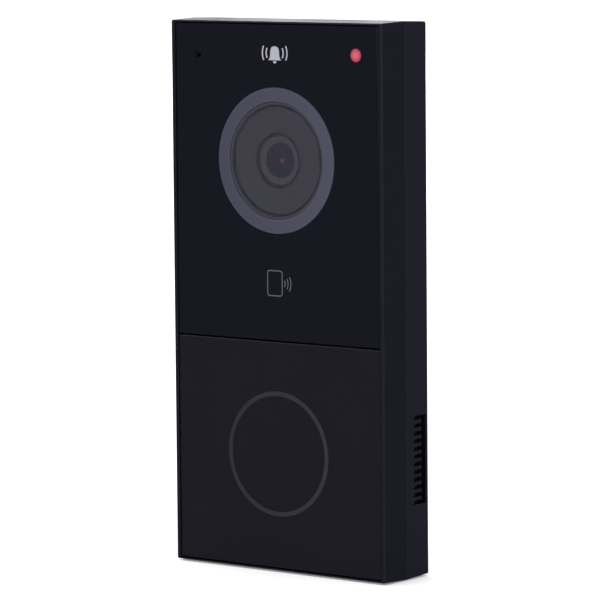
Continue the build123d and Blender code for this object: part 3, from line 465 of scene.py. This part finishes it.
def stroke(points, width):
    """Closed outline of a line of the given width through the points, with square ends."""
    left, right = [], []
    for i, (x, z) in enumerate(points):
        x0, z0 = points[max(i - 1, 0)]
        x1, z1 = points[min(i + 1, len(points) - 1)]
        run = math.hypot(x1 - x0, z1 - z0)
        nx, nz = -(z1 - z0) / run * width / 2, (x1 - x0) / run * width / 2
        left.append((x + nx, z + nz))
        right.append((x - nx, z - nz))
    return left + right[::-1]


def arc(x, z, radius, start, end, steps=16):
    """Points on an arc, in degrees from +X towards +Z."""
    angles = [math.radians(start + (end - start) * i / steps) for i in range(steps + 1)]
    return [(x + radius * math.cos(a), z + radius * math.sin(a)) for a in angles]


def ink(name, colour):
    """Pad print: slightly uneven cover and a dull, dusty surface."""
    m = Material(name, Specular_IOR_Level=0.3)
    m.into(m.mix(m.noise(2500, 4, 0.7), scaled(colour, 0.8), colour), "Base Color")
    m.into(m.remap(m.noise(900), 0.3, 0.7, 0.45, 0.6), "Roughness")
    m.into(m.bump(m.noise(4000), 0.3, 0.003 * MM), "Normal")
    return m.mat


BELL_X, BELL_Z = 0.0, 65.9
BELL_LINE = 0.42
bell_side = [(0.35, 2.15), (0.95, 1.95), (1.35, 1.45), (1.5, 0.7), (1.55, -0.5), (1.8, -1.15),
             (2.2, -1.6)]
bell_body = bell_side + [(-x, z) for x, z in bell_side[::-1]]
bell_shapes = [[(BELL_X + x, BELL_Z + z) for x, z in bell_body],
               arc(BELL_X, BELL_Z - 1.85, 0.6, 180, 360, 12)]
for reach in (2.9, 4.2):
    for middle in (0, 180):
        sound = arc(BELL_X, BELL_Z + 0.35, reach, middle - 27, middle + 27)
        bell_shapes.append(stroke(sound, BELL_LINE))
print_mark("bell_mark", bell_shapes, ink("pale_ink", (0.40, 0.40, 0.44, 1)))

CARD_X, CARD_Z = -0.6, 4.0
CARD_LINE = 0.32
card_half_w, card_half_h, card_corner = 2.5, 3.4, 0.7
card_line = []
for cx, cz, start in ((1, 1, 0), (-1, 1, 90), (-1, -1, 180), (1, -1, 270)):
    corner_x = CARD_X + cx * (card_half_w - card_corner)
    corner_z = CARD_Z + cz * (card_half_h - card_corner)
    card_line += arc(corner_x, corner_z, card_corner, start, start + 90, 6)
card_line.append(card_line[0])
half = len(card_line) // 2
card_shapes = [stroke(card_line[:half + 1], CARD_LINE), stroke(card_line[half:], CARD_LINE)]
for reach in (1.6, 2.6, 3.6):
    wave = arc(CARD_X + card_half_w - 0.6, CARD_Z, reach, -32, 32)
    card_shapes.append(stroke(wave, CARD_LINE))
print_mark("card_mark", card_shapes, ink("grey_ink", (0.10, 0.10, 0.12, 1)))


# ---- Camera, floor and light --------------------------------------------------------------------
CAMERA_PLACE = (0.66748, -0.87013, 0.11318)
CAMERA_FORWARD = (-0.60956, 0.7858, -0.10465)
CAMERA_UP = (-0.05758, 0.08778, 0.99447)
FLOOR_HALF = 9
FLOOR_GAP = 0.2 * MM        # keeps the floor clear of the underside

camera = bpy.data.objects.new("camera", bpy.data.cameras.new("camera"))
bpy.context.scene.collection.objects.link(camera)
forward = Vector(CAMERA_FORWARD).normalized()
right = forward.cross(Vector(CAMERA_UP)).normalized()
up = right.cross(forward).normalized()
turned = Matrix((right, up, -forward)).transposed().to_4x4()
camera.matrix_world = Matrix.Translation(CAMERA_PLACE) @ turned
camera.data.lens = 241.03
camera.data.sensor_width = 36.0
camera.data.clip_start = 0.05
bpy.context.scene.camera = camera

floor_mesh = bpy.data.meshes.new("floor")
corners = [(x * FLOOR_HALF, y * FLOOR_HALF, 0) for x, y in ((-1, -1), (1, -1), (1, 1), (-1, 1))]
floor_mesh.from_pydata(corners, [], [(0, 1, 2, 3)])
floor = bpy.data.objects.new("floor", floor_mesh)
floor.location.z = cad_box[0].z - FLOOR_GAP
bpy.context.scene.collection.objects.link(floor)
# A faint emission of the floor's own lightens the soft shadow round the object.
pale = Material("floor_pale", Roughness=0.9, Emission_Color=(1, 1, 1, 1), Emission_Strength=0.22)
pale.into(pale.mix(pale.noise(6), (0.89, 0.89, 0.89, 1), (0.92, 0.92, 0.92, 1)), "Base Color")
floor.data.materials.append(pale.mat)
floor.visible_glossy = False


def softbox(name, place, target, size, radiance, colour=(1.0, 1.0, 1.0)):
    """Rectangular area light of even radiance, hidden from the camera itself."""
    light = bpy.data.lights.new(name, "AREA")
    light.shape = "RECTANGLE"
    light.size, light.size_y = size
    light.energy = radiance * math.pi * size[0] * size[1]
    light.color = colour
    holder = bpy.data.objects.new(name, light)
    bpy.context.scene.collection.objects.link(holder)
    holder.location = place
    holder.rotation_mode = "QUATERNION"
    holder.rotation_quaternion = (Vector(target) - Vector(place)).to_track_quat("-Z", "Y")
    holder.visible_camera = False
    return holder


softbox("back_left_low", (-1.9, 2.4, 0.8), (0, 0, 0.1), (3.0, 1.2), 2.6, (0.94, 0.94, 1.0))
softbox("right_front", (1.7, -1.4, 0.5), (0, 0, 0), (1.0, 1.0), 0.9)
softbox("left_high", (-1.5, -0.4, 1.5), (0, 0, 0), (1.0, 1.0), 0.8)

sky = bpy.data.objects.new("sky", bpy.data.lights.new("sky", "SUN"))
sky.data.energy = 1.9
sky.data.angle = math.radians(80)
sky.rotation_euler = (math.radians(14), math.radians(-10), 0)
sky.visible_glossy = False
bpy.context.scene.collection.objects.link(sky)

# The studio round the object: white to the camera, even for diffuse light, dim in reflections.
world = bpy.data.worlds.new("studio")
bpy.context.scene.world = world
world.use_nodes = True
world.cycles.sampling_method = "NONE"
tree = world.node_tree
rays = tree.nodes.new("ShaderNodeLightPath")
background = tree.nodes["Background"]


def studio_mix(factor, a, b):
    made = tree.nodes.new("ShaderNodeMix")
    made.data_type = "RGBA"
    tree.links.new(factor, made.inputs["Factor"])
    for socket, value in ((made.inputs[6], a), (made.inputs[7], b)):
        if isinstance(value, tuple):
            socket.default_value = value
        else:
            tree.links.new(value, socket)
    return made.outputs[2]


ambient = studio_mix(rays.outputs["Is Glossy Ray"], (0.72, 0.72, 0.75, 1), (0.05, 0.055, 0.08, 1))
studio = studio_mix(rays.outputs["Is Camera Ray"], ambient, (1.0, 1.0, 1.0, 1))
tree.links.new(studio, background.inputs["Color"])
background.inputs["Strength"].default_value = 1.0

bpy.context.scene.view_settings.view_transform = "Standard"
